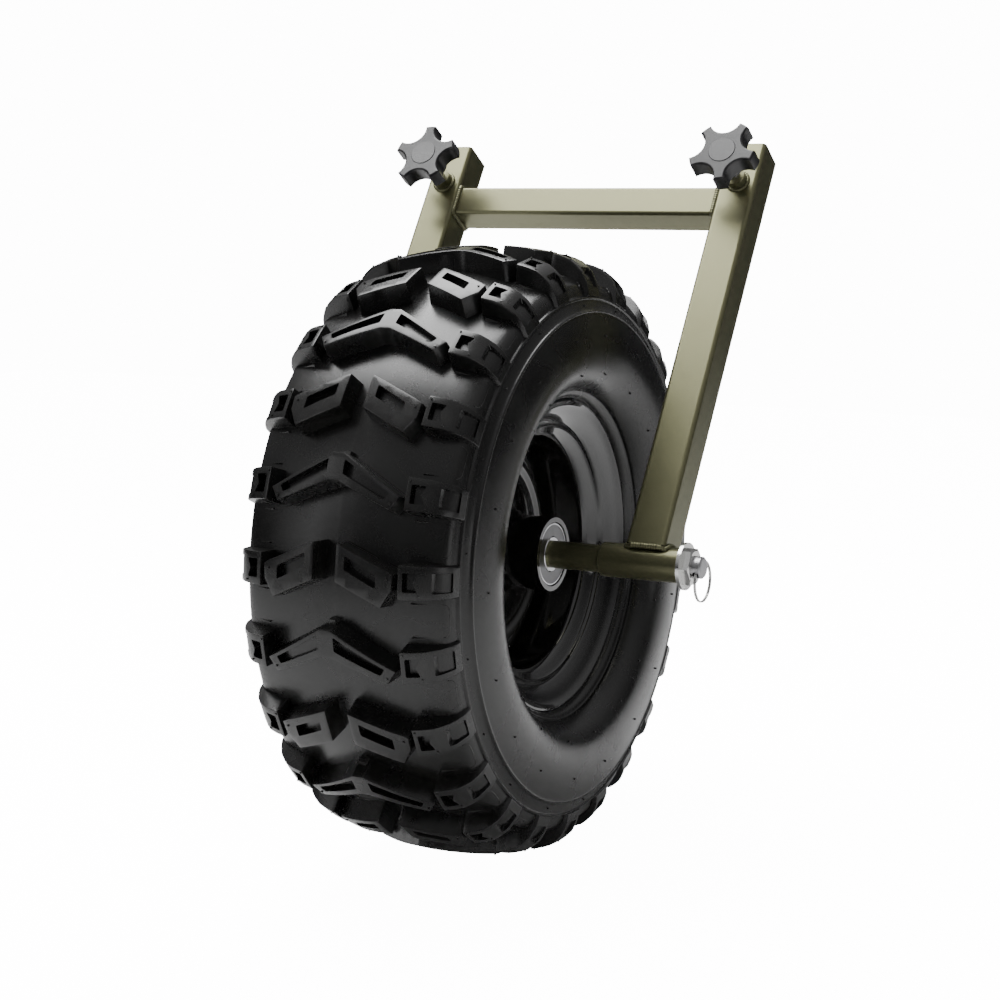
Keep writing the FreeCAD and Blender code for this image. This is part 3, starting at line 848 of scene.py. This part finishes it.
    def _tab(self, bm: bmesh.types.BMesh, angle: float) -> None:
        """Adds the square tab above a chevron's apex."""
        block = self._prism([(2.6, 14.0), (-2.6, 14.0), (-2.6, 9.0), (2.6, 9.0)],
                            [(3.2, 14.6), (-3.2, 14.6), (-3.2, 8.8), (3.2, 8.8)], -1.5, 5.0)
        self._wrap(block, bm, angle)
        block.free()

    def _wrap(self, block: bmesh.types.BMesh, target: bmesh.types.BMesh, angle: float
              ) -> None:
        """Copies a flat block into the target at a row's place on the tyre."""
        block.verts.ensure_lookup_table()
        made = [target.verts.new(self.place(v.co.x, v.co.y, v.co.z / self.flat_height, angle))
                for v in block.verts]
        for face in block.faces:
            target.faces.new([made[v.index] for v in face.verts])

    def sidewall_marks(self) -> bpy.types.Mesh:
        """Vent nibs, fine ticks by the bead and plain raised bars on both sidewalls.

        Returns:
            The mesh of these marks.
        """
        bm = bmesh.new()
        chance = random.Random(11)
        for sign in (-1, 1):
            for k in range(18):
                angle = 20.0 * k + chance.uniform(-3, 3)
                self._stud(bm, sign, 87.3, 160.0, angle, 0.7)
                self._stud(bm, sign, 81.2, 181.6, angle + 9.0, 0.6)
                self._stud(bm, sign, 84.6, 133.0, angle + 4.0, 0.7)
            for k in range(8):
                self._bar(bm, sign, 45.0 * k + 8.0, (78.8, 125.9), (85.4, 134.6), 0.5)
        return to_mesh("tyre_marks", bm)

    def _stud(self, bm: bmesh.types.BMesh, sign: int, x: float, radius: float, angle: float,
              size: float) -> None:
        """Adds a round nib standing out of a sidewall."""
        turn = math.radians(angle)
        centre = Vector((0.0, -radius * math.cos(turn), radius * math.sin(turn)
                         + AXLE_HEIGHT))
        radial = Vector((0.0, -math.cos(turn), math.sin(turn)))
        round_way = ACROSS.cross(radial)
        rings = []
        for out, scale in ((-1.5, 1.0), (0.9, 1.0), (1.3, 0.6)):
            rings.append([bm.verts.new((centre + ACROSS * (sign * (x + out))
                                        + (radial * math.cos(math.pi * k / 4)
                                           + round_way * math.sin(math.pi * k / 4))
                                        * size * scale) * MM) for k in range(8)])
        for a, b in zip(rings, rings[1:]):
            for k in range(8):
                m = (k + 1) % 8
                bm.faces.new((a[k], a[m], b[m], b[k]))
        bm.faces.new(rings[0])
        bm.faces.new(rings[-1])

    def _bar(self, bm: bmesh.types.BMesh, sign: int, angle: float, start: Pair, end: Pair,
             width: float) -> None:
        """Adds a fine raised tick on a sidewall between two (x, radius) points."""
        corners = []
        for lift in (-0.8, 0.5):
            for x, radius in (start, end):
                for side in (-1, 1):
                    turn = math.radians(angle) + side * width / radius
                    corners.append(bm.verts.new(Vector((
                        sign * (x + lift), -radius * math.cos(turn),
                        radius * math.sin(turn) + AXLE_HEIGHT)) * MM))
        for quad in ((0, 1, 3, 2), (4, 5, 7, 6), (0, 1, 5, 4), (2, 3, 7, 6), (0, 2, 6, 4),
                     (1, 3, 7, 5)):
            bm.faces.new([corners[k] for k in quad])

    def build(self) -> None:
        """Builds the whole tyre as one piece with its finish."""
        whole = bmesh.new()
        whole.from_mesh(self.carcass())
        joined, apart = self.templates()
        for row in range(self.rows):
            angle = self.first_row - row * 360.0 / self.rows
            for block in (apart if row % 2 else joined):
                self._wrap(block, whole, angle)
        whole.from_mesh(self.details())
        whole.from_mesh(self.sidewall_marks())
        as_piece("knobbly_tyre", on_wheel(to_mesh("knobbly_tyre", whole)), TYRE_RUBBER,
                 "wheel", ["tyre"], sharp=24.0)


# Wheel ------------------------------------------------------------------------------------


@dataclass
class Wheel:
    """Pressed rim halves, hub, bearings and valve."""

    sheet: float = 2.4
    hub_seat: float = 27.05
    round_steps: int = 160
    face: list[Pair] = field(default_factory=lambda: [
        (21.0, 27.05), (16.0, 40.0), (9.8, 58.0), (9.8, 64.0), (12.4, 68.0), (12.4, 72.0),
        (2.4, 79.0), (2.4, 83.5), (42.0, 83.5), (48.0, 94.0), (51.6, 95.2), (55.7, 101.2),
        (58.7, 109.0), (62.1, 112.2)])
    bends: list[float] = field(default_factory=lambda: [
        0, 8.0, 5.0, 3.0, 2.5, 2.5, 3.0, 4.0, 6.0, 3.0, 2.0, 4.0, 3.0, 0])

    def rim_half(self, side: Side) -> None:
        """Builds one rim half with rounded bends and a rounded flange edge.

        Args:
            side: which half.
        """
        seen = filleted(self.face, self.bends, 5)
        back = filleted(offset_line(self.face, self.sheet), self.bends, 5)
        edge = Vector(seen[-1]).lerp(Vector(back[-1]), 0.5)
        tip = edge + (Vector(seen[-1]) - Vector(seen[-2])).normalized() * 0.9
        outline = seen + [tuple(tip)] + list(reversed(back))
        outline = [(side.value * x, max(r, self.hub_seat)) for x, r in outline]
        name = side.name.lower() + "_pressed_rim"
        mesh = on_wheel(lathe(name, outline, self.round_steps))
        as_piece(name, mesh, BLACK_COAT, "wheel",
                 [side.name.lower() + "_rim_half"], sharp=50.0)

    def build(self) -> None:
        """Builds the rim and dresses hub, bearings and valve."""
        for side in Side:
            self.rim_half(side)
            word = side.name.lower()
            dress(BEARING_STEEL, word + "_bearing_outer_race", word + "_bearing_inner_race",
                  word + "_bearing_balls")
            dress(SHIELD_STEEL, word + "_bearing_shields", word + "_bearing_cage")
        dress(BLACK_COAT, "hub_tube", "hub_welds", "rim_seam_weld")
        dress(VALVE_RUBBER, "inner_tube", "valve_stem", "valve_cap")
        dress(PLAIN_BRASS, "valve_core")


# Fork -------------------------------------------------------------------------------------


@dataclass
class Fork:
    """Legs, cross tube, sleeves and spacers, with their weld beads."""

    leg_centre: float = 128.0
    leg_half: float = 15.0
    cross_centre: float = 298.7
    cross_half: float = 12.5
    sleeve_radius: float = 12.5
    bead: float = 2.0

    def point(self, x: float, front: float, up: float) -> Vector:
        """Point across the wheel, towards the legs' front, and up the legs."""
        return (ACROSS * x + LEG_FRONT * front + LEG_UP * up
                + Vector((0.0, 0.0, AXLE_HEIGHT)))

    def foot_welds(self) -> bpy.types.Mesh:
        """Beads round the foot of each leg, on its sleeve.

        Returns:
            The beads' mesh.
        """
        bm = bmesh.new()
        for index, side in enumerate(Side):
            inner = side.value * (self.leg_centre - self.leg_half - 0.6)
            outer = side.value * (self.leg_centre + self.leg_half + 0.6)
            arc = [math.radians(a) for a in range(-62, 63, 6)]
            crossing = [(self.sleeve_radius * math.sin(a), self.sleeve_radius * math.cos(a))
                        for a in arc]
            path = [self.point(inner, n, s + 0.4) for n, s in crossing]
            path += [self.point(inner + (outer - inner) * k / 6, 13.8, 7.0)
                     for k in range(1, 6)]
            path += [self.point(outer, n, s + 0.4) for n, s in reversed(crossing)]
            path += [self.point(outer + (inner - outer) * k / 6, -13.8, 7.0)
                     for k in range(1, 6)]
            bead_on(bm, path, self.bead, True, 3 + index)
        return to_mesh("foot_welds", bm)

    def cross_welds(self) -> bpy.types.Mesh:
        """Beads round both ends of the cross tube.

        Returns:
            The beads' mesh.
        """
        bm = bmesh.new()
        half = self.cross_half + 0.3
        corners = filleted([(half, 0.0), (half, half), (-half, half), (-half, -half),
                            (half, -half), (half, -0.5)], [0, 3, 3, 3, 3, 0], 4)
        for index, side in enumerate(Side):
            x = side.value * (self.leg_centre - self.leg_half - 0.5)
            path = [self.point(x, n, s + self.cross_centre) for n, s in corners]
            bead_on(bm, path, self.bead, True, 23 + index)
        return to_mesh("cross_welds", bm)

    def boss_weld(self, side: Side) -> None:
        """Builds the bead round a knob boss.

        Args:
            side: which leg's boss.
        """
        bm = bmesh.new()
        ring = [self.point(side.value * self.leg_centre + 8.1 * math.cos(a),
                           self.leg_half + 0.3, 314.0 + 8.1 * math.sin(a))
                for a in (math.pi * k / 12 for k in range(24))]
        bead_on(bm, ring, 1.5, True, 40 + side.value)
        name = side.name.lower() + "_boss_bead"
        as_piece(name, to_mesh(name, bm), WELD_COAT, "fork",
                 [side.name.lower() + "_knob_boss_weld"], sharp=80.0)

    def build(self) -> None:
        """Builds the beads and dresses the tubes."""
        as_piece("foot_weld_beads", self.foot_welds(), WELD_COAT, "fork",
                 ["leg_foot_welds"], sharp=80.0)
        as_piece("cross_weld_beads", self.cross_welds(), WELD_COAT, "fork",
                 ["cross_tube_welds"], sharp=80.0)
        dress(OLIVE_COAT, "cross_tube")
        for side in Side:
            self.boss_weld(side)
            word = side.name.lower()
            dress(OLIVE_COAT, word + "_fork_leg", word + "_axle_sleeve",
                  word + "_spacer_tube", word + "_knob_boss")


@dataclass
class AxleAndClamps:
    """Axle bolt with its hardware, and the clamp knobs."""

    def build(self) -> None:
        """Dresses the axle hardware and the knobs."""
        dress(BRIGHT_ZINC, "axle_washers", "axle_nut", "split_ring", "bearing_distance_tube")
        dress(DARK_ZINC, "axle_bolt")
        for side in Side:
            word = side.name.lower()
            dress(KNOB_PLASTIC, word + "_knob")
            dress(KNOB_CAP_PLASTIC, word + "_knob_cap")
            dress(PLAIN_BRASS, word + "_knob_insert")
            dress(BRIGHT_ZINC, word + "_knob_stud")


# Studio -----------------------------------------------------------------------------------


@dataclass
class Studio:
    """Floor, lights and camera."""

    camera_place: tuple[float, float, float] = (0.6833, -1.2952, 0.4852)
    azimuth: float = 27.52
    elevation: float = 8.76
    lens: float = 72.27
    backdrop: float = 14.0

    def camera(self) -> None:
        """Places the camera."""
        data = bpy.data.cameras.new("camera")
        data.lens = self.lens
        data.sensor_width = 36.0
        made = bpy.data.objects.new("camera", data)
        made.location = self.camera_place
        made.rotation_euler = (math.radians(90.0 - self.elevation), 0.0,
                               math.radians(self.azimuth))
        bpy.context.scene.collection.objects.link(made)
        bpy.context.scene.camera = made

    def panel(self, name: str, place: Sequence[float], target: Sequence[float],
              size: Pair, power: float) -> None:
        """Adds a rectangular soft light.

        Args:
            name: the light's name.
            place: where it is.
            target: what it points at.
            size: its width and height.
            power: its power in watts.
        """
        data = bpy.data.lights.new(name, "AREA")
        data.shape = "RECTANGLE"
        data.size, data.size_y = size
        data.energy = power
        made = bpy.data.objects.new(name, data)
        made.location = place
        way = Vector(target) - Vector(place)
        made.rotation_euler = way.to_track_quat("-Z", "Y").to_euler()
        bpy.context.scene.collection.objects.link(made)

    def floor(self) -> None:
        """Lays a plain pale floor."""
        bm = bmesh.new()
        bmesh.ops.create_grid(bm, x_segments=1, y_segments=1, size=3.0)
        mesh = to_mesh("floor", bm)
        made = bpy.data.objects.new("floor", mesh)
        finish = bpy.data.materials.new("pale_floor")
        finish.use_nodes = True
        shader = finish.node_tree.nodes["Principled BSDF"]
        shader.inputs["Base Color"].default_value = (0.9, 0.9, 0.9, 1.0)
        shader.inputs["Roughness"].default_value = 0.9
        shader.inputs["Specular IOR Level"].default_value = 0.1
        shader.inputs["Emission Color"].default_value = (1.0, 1.0, 1.0, 1.0)
        path = finish.node_tree.nodes.new("ShaderNodeLightPath")
        glow = finish.node_tree.nodes.new("ShaderNodeMath")
        glow.operation = "MULTIPLY"
        glow.inputs[1].default_value = self.backdrop
        finish.node_tree.links.new(path.outputs["Is Camera Ray"], glow.inputs[0])
        finish.node_tree.links.new(glow.outputs["Value"], shader.inputs["Emission Strength"])
        mesh.materials.append(finish)
        bpy.context.scene.collection.objects.link(made)

    def surroundings(self) -> None:
        """Gives the room a bright ceiling and darker walls, white to the camera."""
        world = bpy.data.worlds.new("studio")
        bpy.context.scene.world = world
        world.use_nodes = True
        tree = world.node_tree
        tree.nodes.clear()
        out = tree.nodes.new("ShaderNodeOutputWorld")
        place = tree.nodes.new("ShaderNodeTexCoord")
        split = tree.nodes.new("ShaderNodeSeparateXYZ")
        tree.links.new(place.outputs["Generated"], split.inputs["Vector"])
        ramp = tree.nodes.new("ShaderNodeValToRGB")
        ramp.color_ramp.elements[0].position = 0.0
        ramp.color_ramp.elements[0].color = (0.03, 0.03, 0.032, 1.0)
        ramp.color_ramp.elements[1].position = 0.75
        ramp.color_ramp.elements[1].color = (0.55, 0.55, 0.55, 1.0)
        tree.links.new(split.outputs["Z"], ramp.inputs["Fac"])
        room = tree.nodes.new("ShaderNodeBackground")
        tree.links.new(ramp.outputs["Color"], room.inputs["Color"])
        white = tree.nodes.new("ShaderNodeBackground")
        white.inputs["Color"].default_value = (1.0, 1.0, 1.0, 1.0)
        white.inputs["Strength"].default_value = self.backdrop
        path = tree.nodes.new("ShaderNodeLightPath")
        mix = tree.nodes.new("ShaderNodeMixShader")
        tree.links.new(path.outputs["Is Camera Ray"], mix.inputs["Fac"])
        tree.links.new(room.outputs["Background"], mix.inputs[1])
        tree.links.new(white.outputs["Background"], mix.inputs[2])
        tree.links.new(mix.outputs["Shader"], out.inputs["Surface"])

    def build(self) -> None:
        """Sets up the camera, floor, lights and surroundings."""
        self.camera()
        self.floor()
        self.surroundings()
        self.panel("overhead", (-0.45, 0.25, 1.7), (0.0, 0.1, 0.3), (1.5, 1.1), 52.0)
        self.panel("front_fill", (-1.6, -2.0, 1.0), (0.0, 0.0, 0.25), (0.4, 1.6), 4.0)
        self.panel("right_low", (2.2, -0.2, 0.25), (0.0, 0.0, 0.1), (1.0, 0.3), 2.0)
        LOG.info("studio ready")


def main() -> None:
    """Builds the studio and each sub-assembly in order."""
    logging.basicConfig(level=logging.INFO, format="%(message)s")
    for part in (Studio(), Tyre(), Wheel(), Fork(), AxleAndClamps()):
        part.build()


if __name__ == "__main__":
    main()
